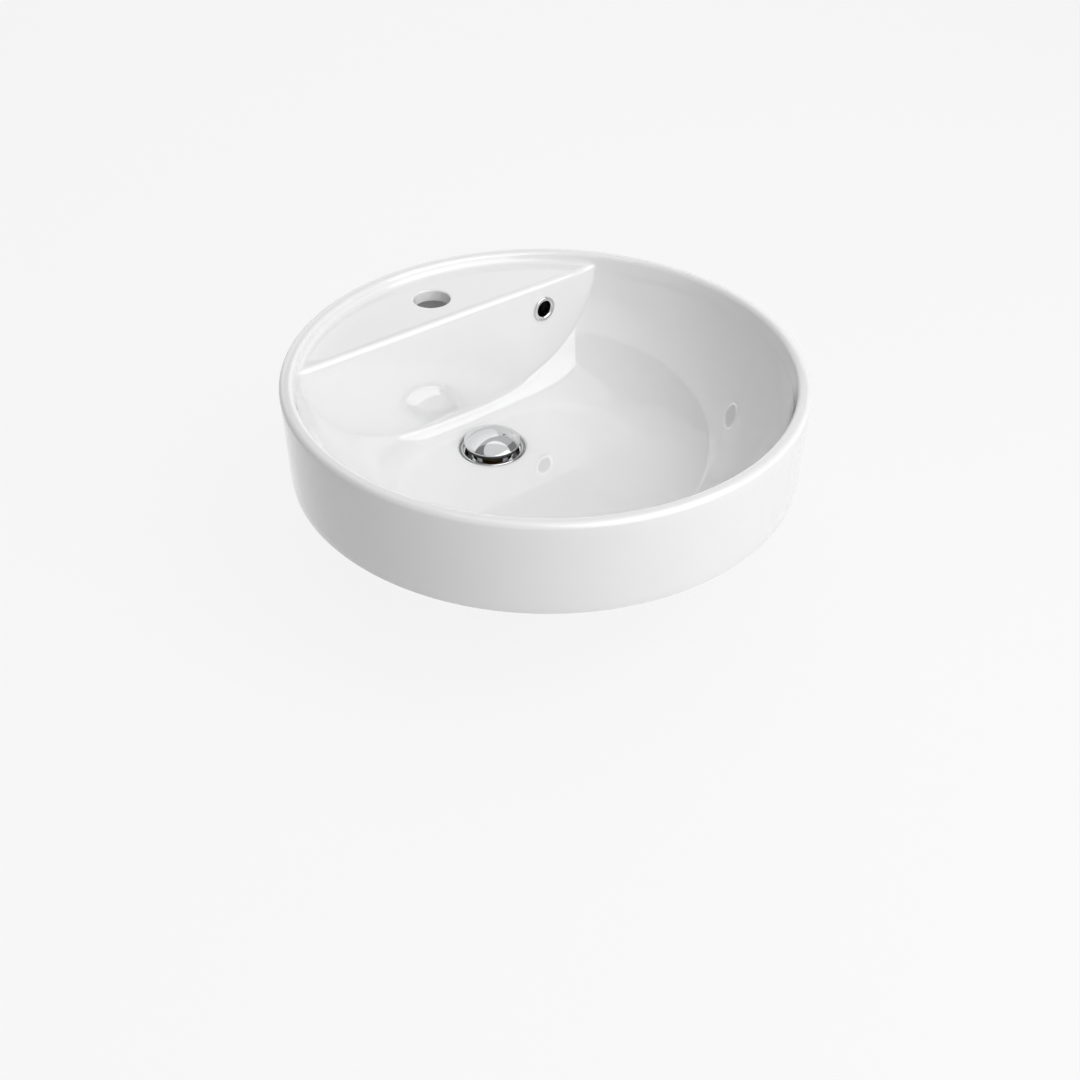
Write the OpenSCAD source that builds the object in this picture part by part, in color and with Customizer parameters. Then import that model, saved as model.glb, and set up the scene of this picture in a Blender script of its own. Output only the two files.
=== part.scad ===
// Round inset basin in glazed ceramic, with a tap shelf, an overflow and a push-button waste.
// The origin is the centre of the footing ring, on the counter top. +Z is up, +Y is the tap side and +X
// is the right-hand side of a person who stands at the basin.

/* [Rim and outer wall] */
// Overall diameter of the basin
basin_d = 450; // [420:5:500]
// Height of the rim above the counter
rim_h = 85; // [70:1:110]
// Thickness of the outer wall, and width of its foot
wall_t = 12; // [10:0.5:16]
// Radius of the rim's two edges
rim_edge_r = 4.5; // [2:0.5:5]
// Radius of the outer wall's bottom edge
foot_edge_r = 1.5; // [0.5:0.5:3]

/* [Bowl] */
// Depth of the bowl from the rim to the lowest part of its floor
bowl_depth = 129; // [115:1:145]
// Thickness of the bowl, the face and the shelf
bowl_t = 11; // [9:0.5:13]
// Horizontal width of the curve between the bowl's wall and floor
corner_w = 84; // [70:1:95]
// Depth below the rim at which that curve starts
straight_h = 15; // [12:1:25]
// How full that curve is: 1 is a straight slope and 2 is an ellipse
corner_fullness = 1.7; // [1.4:0.05:2]
// How far the bowl's wall leans in between the rim and the curve
wall_lean = 1; // [0:0.5:2]
// Fall of the floor towards the waste, in degrees
floor_fall = 1; // [0.5:0.1:2]

/* [Tap shelf] */
// Distance from the basin's centre to the shelf's upright face
face_y = 130; // [124:1:140]
// Height of the rim above the shelf
shelf_drop = 10; // [6:1:14]
// Radius of the shelf's front edge
shelf_edge_r = 4.5; // [2:0.5:6]
// Radius between the upright face and the bowl's floor
face_fillet_r = 18; // [10:1:20]
// Diameter of the tap hole
tap_hole_d = 35; // [33:0.5:36]
// Distance from the basin's centre to the tap hole
tap_y = 171; // [168:1:176]
// Radius of the tap hole's upper edge
tap_edge_r = 1.5; // [0.5:0.5:2]
// Radius of the cove between the shelf and the round wall
cove_r = 5; // [3:0.5:6]

/* [Counter seal] */
// Width of the sealing strip under the foot
seal_w = 6; // [4:0.5:8]
// Thickness of the sealing strip
seal_t = 2; // [1.5:0.25:3]

/* [Overflow] */
// Distance of the overflow to the right of the centre
overflow_x = 103; // [90:1:106]
// Distance of the overflow below the shelf
overflow_drop = 27; // [24:1:32]
// Outer diameter of the overflow's trim ring
ring_d = 25; // [23:0.5:28]
// Bore of the trim ring
ring_bore_d = 16; // [14:0.5:17]
// Wall of the trim ring's sleeve
ring_wall = 1; // [0.8:0.1:1.5]
// How far the trim ring stands proud of the face
ring_proud = 2; // [1.5:0.25:3]
// Radial thickness of the rubber grip round the sleeve
grip_t = 1.6; // [1:0.1:2]
// Width of the overflow's channel
duct_w = 22; // [20:1:24]
// Depth of the overflow's channel behind the face
duct_depth = 10; // [8:0.5:12]
// Height of the channel where it runs under the floor
duct_run_h = 14; // [10:1:16]
// Width of the channel where it runs under the floor
duct_run_w = 16; // [14:1:20]
// Ceramic round the channel
duct_t = 7; // [5:0.5:8]
// Radius of the channel's outer corners
duct_corner_r = 6; // [3:0.5:8]

/* [Outlet] */
// Distance from the basin's centre to the waste
waste_y = 79.5; // [74:0.5:82]
// Diameter of the outlet through the ceramic
outlet_d = 46; // [44:0.5:48]
// Outer diameter of the boss round the outlet
boss_d = 80; // [76:1:90]
// Length of the boss below the floor
boss_l = 52; // [48:1:60]
// Gap between the flange and the recess round it
recess_gap = 1.5; // [1:0.25:2]
// Radius of the recess's lip
lip_r = 3; // [2:0.5:4]

/* [Waste body] */
// Diameter of the waste's flange
flange_d = 60; // [58:0.5:62]
// Width of the flange's flat rim
flange_rim_w = 2.3; // [2:0.1:3]
// Thickness of the flange at its edge
flange_t = 3.4; // [3.2:0.1:4]
// How far the flange's rim lies below the floor
flange_drop = 1.4; // [1:0.1:2]
// Depth of the dish in the flange, before its slope
dish_h = 3.2; // [3:0.1:4]
// Thickness of the seal under the flange
flange_seal_t = 1.5; // [1:0.1:2]
// Outer diameter of the tail's thread, which is a standard inch and a quarter
thread_d = 41.9; // [41.9:0.1:42.5]
// Bore of the tail
tail_bore_d = 36; // [35:0.5:37]
// Length of the waste body below the flange's rim
waste_l = 92; // [90:1:110]
// Depth of the thread
thread_depth = 1.48; // [1.3:0.02:1.5]
// Length of the free end's thread, which takes the trap's nut
trap_thread_l = 18; // [14:0.5:20]
// Width of the groove where that thread runs out
relief_w = 2.5; // [2:0.25:3]
// Width of each of the four overflow slots in the waste body
slot_w = 16; // [12:1:18]
// Number of arms that carry the cartridge
arm_count = 4; // [3:1:6]
// Width of each arm
arm_w = 4; // [3:0.5:5]
// Height of each arm
arm_h = 6; // [5:0.5:7]

/* [Waste fixings] */
// Thickness of the tapered seal under the boss
cone_seal_t = 6; // [5:0.5:8]
// Thickness of the slip washer
slip_t = 2; // [1.5:0.25:3]
// Outer diameter of the slip washer
slip_d = 60; // [56:1:64]
// Width across the flats of the back nut
nut_af = 54; // [50:1:58]
// Height of the back nut
nut_h = 11; // [9:1:13]
// Height of the chamfer round the nut's lower face
nut_chamfer = 2; // [1:0.5:3]

/* [Plug] */
// Diameter of the plug's cap
cap_d = 54; // [52:0.5:54]
// Height of the cap's side, which draws in towards the seal
cap_edge_h = 5; // [4.5:0.1:6]
// Rise of the cap's dome above its edge
dome_rise = 9; // [7:0.25:10]
// Thickness of the cap behind its edge
cap_t = 1.1; // [1:0.1:1.4]
// Width of the cap's edge
cap_edge_w = 2.2; // [1.5:0.1:3]
// Travel of the plug between open and shut
travel = 6; // [5:0.25:6.5]
// Width of the rubber seal below the cap
plug_seal_w = 6.6; // [5:0.1:7]
// Height of the hub under the cap, down to the plate that holds the rubber seal
cap_hub_h = 4.7; // [4.5:0.1:5]
// Thickness of the plate that holds the rubber seal
retainer_t = 1.4; // [1:0.1:2]
// How far that plate reaches under the rubber seal
retainer_lap = 2.6; // [2:0.1:3]
// Diameter of the stud's flange
stud_flange_d = 17; // [14:0.5:20]
// Thickness of the stud's flange
stud_flange_t = 1.6; // [1:0.1:2.5]

/* [Cartridge] */
// Outer diameter of the cartridge's barrel
barrel_d = 20; // [18:0.5:22]
// Bore of the barrel
barrel_bore_d = 15; // [14:0.5:16]
// Length of the barrel
barrel_l = 38; // [37:0.5:42]
// Diameter of the plunger's stem
stem_d = 8; // [7:0.5:9]
// Diameter of the plunger's lower pin, which carries the rotor
pin_d = 5; // [4:0.5:5.5]
// Diameter of the stud's threads
stud_d = 5; // [4:0.5:5]
// Length of the stud inside the plunger
stud_l = 7; // [6:0.5:7.5]
// Height of the bush that guides the stem
bush_h = 5; // [4:0.5:6]
// Height of the plunger's collar
collar_h = 4; // [3:0.5:5]
// Height of the latch rotor, with its teeth
rotor_h = 7; // [6:0.5:8]
// Number of ribs in the barrel, and of teeth on the rotor
rib_count = 4; // [3:1:6]
// Height of the ribs above the barrel's bore
rib_t = 1.4; // [1:0.1:1.6]
// Width of each rib
rib_w = 2; // [1.5:0.25:2.5]
// Width of each of the plunger's lugs, which run between the ribs
lug_w = 3; // [2:0.5:4]
// Wire diameter of the spring
wire_d = 1.1; // [0.8:0.1:1.3]
// Number of turns of the spring
spring_turns = 5; // [4:1:6]

/* [Clearances] */
// Gap between a piece and the seat that it is fitted into
seat_gap = 0.2; // [0.1:0.05:0.4]
// Gap between a soft piece and a piece of another body
soft_gap = 0.3; // [0.2:0.05:0.5]
// Radial running gap round a sliding stem or a turning rotor
run_gap = 0.08; // [0.04:0.01:0.1]

/* [Hidden] */
$fn = 96;
// Depth of a cut past the surface that it opens
over = 1;
// Reach of a cutting shape past the whole basin
far = 20;
// Steps in a quarter of a rounded profile
arc_steps = 8;
// Steps in the curve between the bowl's wall and floor
corner_steps = 14;

// Basin
basin_r = basin_d / 2;
bowl_r = basin_r - wall_t;
shelf_z = rim_h - shelf_drop;
floor_z = rim_h - bowl_depth;
corner_z = rim_h - straight_h;
corner_h = corner_z - floor_z;
corner_r = bowl_r - wall_lean;
floor_r = corner_r - corner_w;
floor_back_y = face_y - face_fillet_r;
function floor_at(y) = floor_z + (floor_back_y - y) * tan(floor_fall);

// Overflow
overflow_z = shelf_z - overflow_drop;
sleeve_r = ring_bore_d / 2 + ring_wall;
overflow_hole_r = sleeve_r + grip_t;
duct_top_z = overflow_z + overflow_hole_r;

// Waste levels, from the flange down
rim_z = floor_at(waste_y) - flange_drop;
flange_r = flange_d / 2;
dish_r = flange_r - flange_rim_w;
thread_r = thread_d / 2;
tail_r = tail_bore_d / 2;
// Width and depth of the chamfer between the dish and the tail's bore
throat_edge = 1.5;
throat_r = tail_r + throat_edge;
// Fall of the dish per millimetre towards its middle
dish_slope = 0.34;
dish_z = rim_z - dish_h;
throat_z = dish_z - (dish_r - throat_r) * dish_slope;
recess_r = flange_r + recess_gap;
outlet_r = outlet_d / 2;
// Fall of the ceramic's seat for the flange per millimetre towards its middle, and its height at a radius
seat_slope = 0.6;
function seat_at(r) = rim_z - flange_t - flange_seal_t - (flange_r - r) * seat_slope;
boss_z = floor_z - boss_l;
tail_z = rim_z - waste_l;
// How far the tapered seal reaches up into the outlet
cone_seal_in = 1;
cone_seal_z = boss_z - cone_seal_t + cone_seal_in;
slip_z = cone_seal_z - slip_t;
nut_z = slip_z - nut_h;
// Ceramic left above the channel, where it meets the outlet
slot_roof = 2;
slot_top_z = floor_z - bowl_t - duct_t - slot_roof;
slot_bottom_z = slot_top_z - duct_run_h;
tail_chamfer = 1;
relief_z = tail_z + tail_chamfer + trap_thread_l;
// How far the arms sink into the tail's wall
arm_bite = 0.5;

// Plug levels
cap_r = cap_d / 2;
// Gap between the cap and the flange with the plug shut
shut_gap = 0.4;
cap_bottom_z = dish_z + travel + shut_gap;
cap_edge_z = cap_bottom_z + cap_edge_h;
cap_under_z = cap_edge_z - cap_t;
cap_in_r = cap_r - cap_edge_w;
plug_seal_in_r = cap_in_r - plug_seal_w;
cap_taper = 1.4;
cap_band = 1;
retainer_top_z = cap_under_z - cap_hub_h;
retainer_z = retainer_top_z - retainer_t;
retainer_r = plug_seal_in_r + retainer_lap;
stud_flange_z = retainer_z - stud_flange_t;
stud_r = stud_d / 2;
// How far the stud reaches into the cap, and how much longer than the stud its holes are
stud_in = 1;
stud_play = 0.5;
// Height of the dish's slope at a radius
function slope_at(r) = dish_z - (dish_r - r) * dish_slope;

// Cartridge levels
barrel_r = barrel_d / 2;
bore_r = barrel_bore_d / 2;
stem_r = stem_d / 2;
pin_r = pin_d / 2;
// Gap between the stud's flange and the barrel with the plug shut
stud_gap = 2.5;
barrel_z = stud_flange_z - travel - stud_gap;
// Play of a piece along the barrel
play = 0.1;
circlip_t = 0.8;
groove_h = circlip_t + play;
groove_depth = 0.8;
// Distance of the groove's lower side, which is the bush's top, below the barrel's top
groove_drop = 1.4;
groove_z = barrel_z - groove_drop;
bush_z = groove_z - bush_h;
collar_z = bush_z - soft_gap - collar_h;
// Height, length, width and tilt of the gaps between the rotor's teeth
tooth_h = 1.2;
tooth_l = 3;
tooth_w = 4;
tooth_tilt = 12;
rotor_top_z = collar_z - soft_gap;
rotor_z = rotor_top_z - rotor_h;
washer_t = 0.8;
washer_z = rotor_z - soft_gap - washer_t;
// How far the plunger's pin reaches through the washer
pin_end = 3;
barrel_floor_t = 3;
barrel_end_z = barrel_z - barrel_l;
barrel_floor_z = barrel_end_z + barrel_floor_t;
hub_h = 8;
hub_r = barrel_r - 1;
nipple_r = 5;
// How far the barrel's nipple stands out below the hub
nipple_proud = 2;
// Gap between the spring and the barrel's bore
spring_gap = 1;
spring_r = bore_r - spring_gap - wire_d / 2;
spring_l = washer_z - barrel_floor_z - play;
rotor_r = bore_r - soft_gap;
rib_in_r = bore_r - rib_t;

ceramic_white = [0.95, 0.95, 0.94];
chrome_silver = [0.78, 0.79, 0.80];
brass_yellow = [0.78, 0.64, 0.36];
rubber_black = [0.12, 0.12, 0.12];
plastic_white = [0.88, 0.88, 0.86];
steel_grey = [0.62, 0.63, 0.64];

// Points of an arc round (x, y), from one angle to another
function arc(x, y, r, from, to) =
    [for (i = [0:arc_steps]) let (a = from + (to - from) * i / arc_steps) [x + r * cos(a), y + r * sin(a)]];

// Corners of a rounded rectangle with its centre at the origin
function rounded(w, h, r) = concat(arc(w / 2 - r, h / 2 - r, r, 0, 90), arc(r - w / 2, h / 2 - r, r, 90, 180),
    arc(r - w / 2, r - h / 2, r, 180, 270), arc(w / 2 - r, r - h / 2, r, 270, 360));

// The curve between wall and floor, moved outwards by t, from the wall down to the floor
function corner_curve(t) =
    [for (i = [0:corner_steps])
        let (a = 90 * i / corner_steps, k = 2 / corner_fullness)
        [floor_r + (corner_w + t) * pow(cos(a), k), corner_z - (corner_h + t) * pow(sin(a), k)]];

// Everything inside the bowl's round wall, moved outwards by t, up to a height
module round_space(t, top, rim) {
    rotate_extrude()
        polygon(concat([[0, floor_z - t]], [for (i = [corner_steps:-1:0]) corner_curve(t)[i]], rim,
            [[0, top]]));
}

// Everything in front of the upright face and above the shelf, moved outwards by t
module shelf_space(t, top) {
    reach = basin_r + far;
    translate([-reach, 0, 0])
        rotate([90, 0, 90])
            linear_extrude(2 * reach)
                polygon(concat([[-reach, top], [-reach, floor_at(-reach) - t]],
                    arc(floor_back_y, floor_z + face_fillet_r, face_fillet_r + t, -90, 0),
                    arc(face_y + t + shelf_edge_r, shelf_z - t - shelf_edge_r, shelf_edge_r, 180, 90),
                    [[reach, shelf_z - t], [reach, top]]));
}

// The open inside of the bowl and above the shelf, with the rim's rounded inner edge
module bowl_space() {
    high = rim_h + far;
    intersection() {
        round_space(0, high, concat(arc(bowl_r + rim_edge_r, rim_h - rim_edge_r, rim_edge_r, 180, 90),
            [[bowl_r + rim_edge_r, high]]));
        shelf_space(0, high + over);
    }
}

// The mass that the bowl's inside is cut from: floor, curve, face and shelf
module bowl_mass() {
    high = rim_h - rim_edge_r;
    intersection() {
        round_space(bowl_t, high, [[corner_r + bowl_t, high]]);
        shelf_space(bowl_t, rim_h);
    }
}

// The cove where the shelf meets the round wall
module shelf_cove() {
    intersection() {
        rotate_extrude()
            polygon(concat([[bowl_r + over, shelf_z - over], [bowl_r - cove_r, shelf_z - over]],
                arc(bowl_r - cove_r, shelf_z + cove_r, cove_r, -90, 0),
                [[bowl_r + over, shelf_z + cove_r]]));
        translate([-basin_r, face_y + shelf_edge_r, 0])
            cube([basin_d, basin_d, rim_h]);
    }
}

// The round outer wall, which stands on the counter
module outer_wall() {
    rotate_extrude()
        polygon(concat([[bowl_r, 0]], arc(basin_r - foot_edge_r, foot_edge_r, foot_edge_r, -90, 0),
            arc(basin_r - rim_edge_r, rim_h - rim_edge_r, rim_edge_r, 0, 90),
            [[bowl_r, rim_h]]));
}

// The overflow's channel: down behind the face, then under the floor to the outlet; grow adds its wall
module overflow_way(grow) {
    corner = min(grow, duct_corner_r) + over;
    low = slot_bottom_z - grow;
    back = face_y + bowl_t + duct_depth + grow;
    front = face_y + bowl_t - corner;
    mid = face_y + bowl_t + duct_depth / 2;
    run_w = duct_run_w + 2 * grow;
    run_h = duct_run_h + 2 * grow;
    intersection() {
        translate([overflow_x, (front + back) / 2, low])
            linear_extrude(duct_top_z + grow - low)
                polygon(rounded(duct_w + 2 * grow, back - front, corner));
        translate([0, face_y + bowl_t - min(grow, over), low])
            cube([basin_r, back, rim_h - low]);
    }
    translate([overflow_x, mid, low + run_h / 2])
        rotate([0, 0, atan2(waste_y - mid, -overflow_x)])
            rotate([90, 0, 90])
                linear_extrude(norm([overflow_x, mid - waste_y]))
                    polygon(rounded(run_w, run_h, corner));
}

module basin_body() {
    color(ceramic_white) {
        difference() {
            union() {
                bowl_mass();
                outer_wall();
                translate([0, waste_y, boss_z])
                    cylinder(d = boss_d, h = boss_l - bowl_t / 2);
                overflow_way(duct_t);
            }
            bowl_space();
            overflow_way(0);
            translate([0, waste_y, 0])
                outlet_space();
            translate([0, tap_y, 0])
                tap_hole();
            translate([overflow_x, face_y - over, overflow_z])
                rotate([-90, 0, 0])
                    cylinder(r = overflow_hole_r, h = bowl_t + 2 * over);
            seal_groove();
        }
        shelf_cove();
    }
}

// The outlet: a bore, a sloping seat for the flange and a rounded lip at the floor
module outlet_space() {
    lip_z = floor_at(waste_y);
    rotate_extrude()
        polygon(concat([[0, seat_at(0)], [recess_r, seat_at(recess_r)]],
            arc(recess_r + lip_r, lip_z - lip_r, lip_r, 180, 90),
            [[recess_r + lip_r, lip_z + far], [0, lip_z + far]]));
    translate([0, 0, boss_z - over])
        cylinder(r = outlet_r, h = seat_at(outlet_r) - boss_z + 2 * over);
}

module tap_hole() {
    translate([0, 0, shelf_z - bowl_t - over])
        cylinder(d = tap_hole_d, h = bowl_t + 2 * over);
    rotate_extrude()
        polygon(concat([[0, shelf_z - tap_edge_r]],
            arc(tap_hole_d / 2 + tap_edge_r, shelf_z - tap_edge_r, tap_edge_r, 180, 90),
            [[tap_hole_d / 2 + tap_edge_r, shelf_z + over], [0, shelf_z + over]]));
}

// The rebate in the foot, where the sealing strip lies
module seal_groove() {
    mid = bowl_r + wall_t / 2;
    rotate_extrude()
        translate([mid - seal_w / 2 - seat_gap, -over])
            square([seal_w + 2 * seat_gap, seal_t + seat_gap + over]);
}

module counter_seal() {
    mid = bowl_r + wall_t / 2;
    color(rubber_black)
        rotate_extrude()
            translate([mid - seal_w / 2, 0])
                square([seal_w, seal_t]);
}

// A piece of the overflow, whose axis points out of the face
module at_overflow() {
    translate([overflow_x, face_y, overflow_z])
        rotate([90, 0, 0])
            children();
}

module overflow_ring() {
    inner = ring_bore_d / 2;
    outer = ring_d / 2;
    color(chrome_silver)
        at_overflow()
            rotate_extrude()
                polygon(concat([[inner, -bowl_t + over], [sleeve_r, -bowl_t + over], [sleeve_r, 0], [outer, 0]],
                    arc(outer - ring_proud / 2, ring_proud / 2, ring_proud / 2, 0, 90),
                    arc(inner + ring_proud, 0, ring_proud, 90, 180)));
}

module overflow_grip() {
    color(rubber_black)
        at_overflow()
            translate([0, 0, -bowl_t + over])
                difference() {
                    cylinder(r = overflow_hole_r, h = bowl_t - 3 * over);
                    translate([0, 0, -over])
                        cylinder(r = sleeve_r, h = bowl_t);
                }
}

// A piece of the waste, placed on the outlet's axis
module at_waste() {
    translate([0, waste_y, 0])
        children();
}

module waste_body() {
    rim_r = flange_rim_w / 2;
    root_r = thread_r - thread_depth;
    color(chrome_silver)
        at_waste()
            difference() {
                union() {
                    rotate_extrude()
                        polygon(concat([[tail_r, tail_z], [thread_r - tail_chamfer, tail_z],
                            [thread_r, tail_z + tail_chamfer], [thread_r, relief_z], [root_r, relief_z],
                            [root_r, relief_z + relief_w], [thread_r, relief_z + relief_w],
                            [thread_r, seat_at(thread_r) + flange_seal_t], [flange_r, rim_z - flange_t]],
                            arc(flange_r - rim_r, rim_z - rim_r, rim_r, 0, 180),
                            [[dish_r, dish_z], [throat_r, throat_z], [tail_r, throat_z - throat_edge]]));
                    cartridge_arms();
                }
                for (turn = [45:90:315])
                    rotate([0, 0, turn])
                        translate([hub_r, -slot_w / 2, slot_bottom_z])
                            cube([thread_r + over - hub_r, slot_w, duct_run_h]);
                translate([0, 0, barrel_end_z - hub_h - over])
                    cylinder(r = nipple_r + run_gap, h = hub_h + 2 * over);
            }
}

// The hub that the cartridge screws into, and the arms that hold it in the tail
module cartridge_arms() {
    translate([0, 0, barrel_end_z - hub_h])
        cylinder(r = hub_r, h = hub_h);
    for (i = [0:arm_count - 1])
        rotate([0, 0, 360 * i / arm_count])
            translate([hub_r - over, -arm_w / 2, barrel_end_z - hub_h])
                cube([tail_r + arm_bite - hub_r + over, arm_w, arm_h]);
}

// The seal between the flange and its seat in the ceramic
module flange_seal() {
    color(plastic_white)
        at_waste()
            rotate_extrude()
                polygon([[thread_r + seat_gap, seat_at(thread_r + seat_gap) + flange_seal_t],
                    [flange_r, seat_at(flange_r) + flange_seal_t],
                    [flange_r, seat_at(flange_r)],
                    [outlet_r, seat_at(outlet_r)],
                    [thread_r + seat_gap, seat_at(outlet_r)]]);
}

module cone_seal() {
    taper = cone_seal_t / 2;
    color(rubber_black)
        at_waste()
            rotate_extrude()
                polygon([[thread_r + seat_gap, cone_seal_z], [slip_d / 2, cone_seal_z],
                    [slip_d / 2, cone_seal_z + cone_seal_t - taper], [outlet_r + taper, boss_z - seat_gap],
                    [outlet_r - seat_gap, boss_z - seat_gap], [outlet_r - cone_seal_in, boss_z + cone_seal_in],
                    [thread_r + seat_gap, boss_z + cone_seal_in]]);
}

module slip_washer() {
    color(plastic_white)
        at_waste()
            translate([0, 0, slip_z])
                difference() {
                    cylinder(d = slip_d, h = slip_t);
                    translate([0, 0, -over])
                        cylinder(r = thread_r + seat_gap, h = slip_t + 2 * over);
                }
}

module back_nut() {
    point_r = nut_af / cos(30) / 2;
    color(brass_yellow)
        at_waste()
            translate([0, 0, nut_z])
                difference() {
                    intersection() {
                        cylinder(r = point_r, h = nut_h, $fn = 6);
                        rotate_extrude()
                            polygon([[0, 0], [nut_af / 2, 0], [point_r, nut_chamfer], [point_r, nut_h],
                                [0, nut_h]]);
                    }
                    translate([0, 0, -over])
                        cylinder(r = thread_r + run_gap, h = nut_h + 2 * over);
                }
}

module cartridge_barrel() {
    color(brass_yellow)
        at_waste()
            difference() {
                union() {
                    translate([0, 0, barrel_end_z])
                        cylinder(r = barrel_r, h = barrel_l);
                    translate([0, 0, barrel_end_z - hub_h - nipple_proud])
                        cylinder(r = nipple_r, h = hub_h + nipple_proud + over);
                }
                difference() {
                    translate([0, 0, barrel_floor_z])
                        cylinder(r = bore_r, h = barrel_l);
                    barrel_ribs();
                }
                translate([0, 0, groove_z + play])
                    cylinder(r = bore_r + groove_depth, h = groove_h);
            }
}

// The ribs that guide the plunger's collar and catch the rotor
module barrel_ribs() {
    for (i = [0:rib_count - 1])
        rotate([0, 0, 360 * i / rib_count])
            translate([rib_in_r, -rib_w / 2, collar_z - play])
                cube([rib_t + over, rib_w, collar_h]);
}

module cartridge_bush() {
    color(plastic_white)
        at_waste()
            translate([0, 0, bush_z])
                difference() {
                    cylinder(r = bore_r - run_gap, h = bush_h);
                    translate([0, 0, -over])
                        cylinder(r = stem_r + run_gap, h = bush_h + 2 * over);
                }
}

// An open spring ring in the barrel's groove, over the bush
module bush_circlip() {
    outer = bore_r + groove_depth - seat_gap;
    ring_w = 1.8;
    slit_w = 3;
    color(steel_grey)
        at_waste()
            translate([0, 0, groove_z + play + play / 2])
                difference() {
                    cylinder(r = outer, h = circlip_t);
                    translate([0, 0, -over])
                        cylinder(r = outer - ring_w, h = circlip_t + 2 * over);
                    translate([0, -slit_w / 2, -over])
                        cube([outer + over, slit_w, circlip_t + 2 * over]);
                }
}

module plunger() {
    stud_hole_l = stud_l + stud_play;
    color(brass_yellow)
        at_waste()
            difference() {
                union() {
                    translate([0, 0, collar_z + collar_h - over])
                        cylinder(r = stem_r, h = stud_flange_z - collar_z - collar_h + over);
                    translate([0, 0, collar_z])
                        cylinder(r = rib_in_r - soft_gap, h = collar_h);
                    for (i = [0:rib_count - 1])
                        rotate([0, 0, 360 * (i + 0.5) / rib_count])
                            translate([stem_r, -lug_w / 2, collar_z])
                                cube([bore_r - soft_gap - stem_r, lug_w, collar_h]);
                    translate([0, 0, washer_z - pin_end])
                        cylinder(r = pin_r, h = collar_z - washer_z + pin_end + over);
                }
                translate([0, 0, stud_flange_z - stud_hole_l])
                    cylinder(r = stud_r + run_gap / 2, h = stud_hole_l + over);
            }
}

module latch_rotor() {
    color(plastic_white)
        at_waste()
            difference() {
                translate([0, 0, rotor_z])
                    cylinder(r = rotor_r, h = rotor_h);
                translate([0, 0, rotor_z - over])
                    cylinder(r = pin_r + run_gap, h = rotor_h + 2 * over);
                for (i = [0:rib_count - 1])
                    rotate([0, 0, 360 * i / rib_count])
                        translate([0, 0, rotor_top_z - tooth_h])
                            rotate([0, -tooth_tilt, 0])
                                translate([rotor_r - tooth_l, -tooth_w / 2, 0])
                                    cube([2 * tooth_l, tooth_w, rotor_h]);
            }
}

module spring_washer() {
    color(steel_grey)
        at_waste()
            translate([0, 0, washer_z])
                difference() {
                    cylinder(r = rotor_r, h = washer_t);
                    translate([0, 0, -over])
                        cylinder(r = pin_r + run_gap, h = washer_t + 2 * over);
                }
}

// One unbroken coil of round wire, with its ends flat against its seats
module cartridge_spring() {
    sides = 8;
    turn_steps = 12;
    rings = spring_turns * turn_steps;
    rise = spring_l - wire_d;
    function climb(i) = let (s = i / rings) rise * (s - sin(720 * s) / (4 * PI * spring_turns));
    points = [for (i = [0:rings]) for (k = [0:sides - 1])
        let (turn = 360 * i / turn_steps, a = 360 * k / sides, r = spring_r + wire_d / 2 * cos(a))
        [r * cos(turn), r * sin(turn), climb(i) + wire_d / 2 * sin(a)]];
    walls = [for (i = [0:rings - 1]) for (k = [0:sides - 1]) let (n = (k + 1) % sides, p = i * sides)
        each [[p + k, p + sides + n, p + n], [p + k, p + sides + k, p + sides + n]]];
    ends = [for (k = [1:sides - 2]) each [[0, k, k + 1],
        [rings * sides, rings * sides + k + 1, rings * sides + k]]];
    least = min([for (i = [0:rings - turn_steps]) climb(i + turn_steps) - climb(i)]) - wire_d;
    echo(str("least gap between the spring's turns: ", least, " mm"));
    color(steel_grey)
        at_waste()
            translate([0, 0, barrel_floor_z + play / 2 + wire_d / 2])
                polyhedron(points, concat(walls, ends));
}

module plug_cap() {
    sphere_r = (cap_r * cap_r + dome_rise * dome_rise) / (2 * dome_rise);
    half = asin(cap_r / sphere_r);
    color(chrome_silver)
        at_waste()
            difference() {
                rotate_extrude()
                    polygon(concat([[0, retainer_top_z], [stud_flange_d / 2, retainer_top_z],
                        [stud_flange_d / 2, cap_under_z], [cap_in_r, cap_under_z], [cap_in_r, cap_bottom_z],
                        [cap_r - cap_taper, cap_bottom_z], [cap_r, cap_edge_z - cap_band]],
                        [for (i = [0:arc_steps]) let (a = half * (1 - i / arc_steps))
                            [sphere_r * sin(a), cap_edge_z + dome_rise - sphere_r * (1 - cos(a))]]));
                translate([0, 0, retainer_top_z - over])
                    cylinder(r = stud_r + run_gap / 2, h = cap_hub_h + stud_in + stud_play + over);
            }
}

module cap_stud() {
    color(brass_yellow)
        at_waste() {
            translate([0, 0, stud_flange_z])
                cylinder(d = stud_flange_d, h = stud_flange_t);
            translate([0, 0, stud_flange_z - stud_l])
                cylinder(r = stud_r, h = cap_under_z + stud_in - stud_flange_z + stud_l);
        }
}

module plug_seal() {
    top = cap_under_z;
    lift = travel + soft_gap;
    outer = cap_in_r - seat_gap;
    lip = retainer_r + seat_gap;
    color(rubber_black)
        at_waste()
            rotate_extrude()
                polygon([[plug_seal_in_r, top], [outer, top], [outer, slope_at(outer) + lift],
                    [lip, slope_at(lip) + lift], [lip, retainer_top_z + seat_gap],
                    [plug_seal_in_r, retainer_top_z + seat_gap]]);
}

module seal_retainer() {
    color(plastic_white)
        at_waste()
            translate([0, 0, retainer_z])
                difference() {
                    cylinder(r = retainer_r, h = retainer_t);
                    translate([0, 0, -over])
                        cylinder(r = stud_r + run_gap, h = retainer_t + 2 * over);
                }
}

basin_body();
counter_seal();
overflow_ring();
overflow_grip();
waste_body();
flange_seal();
cone_seal();
slip_washer();
back_nut();
cartridge_barrel();
cartridge_bush();
bush_circlip();
plunger();
latch_rotor();
spring_washer();
cartridge_spring();
plug_cap();
cap_stud();
plug_seal();
seal_retainer();
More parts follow.
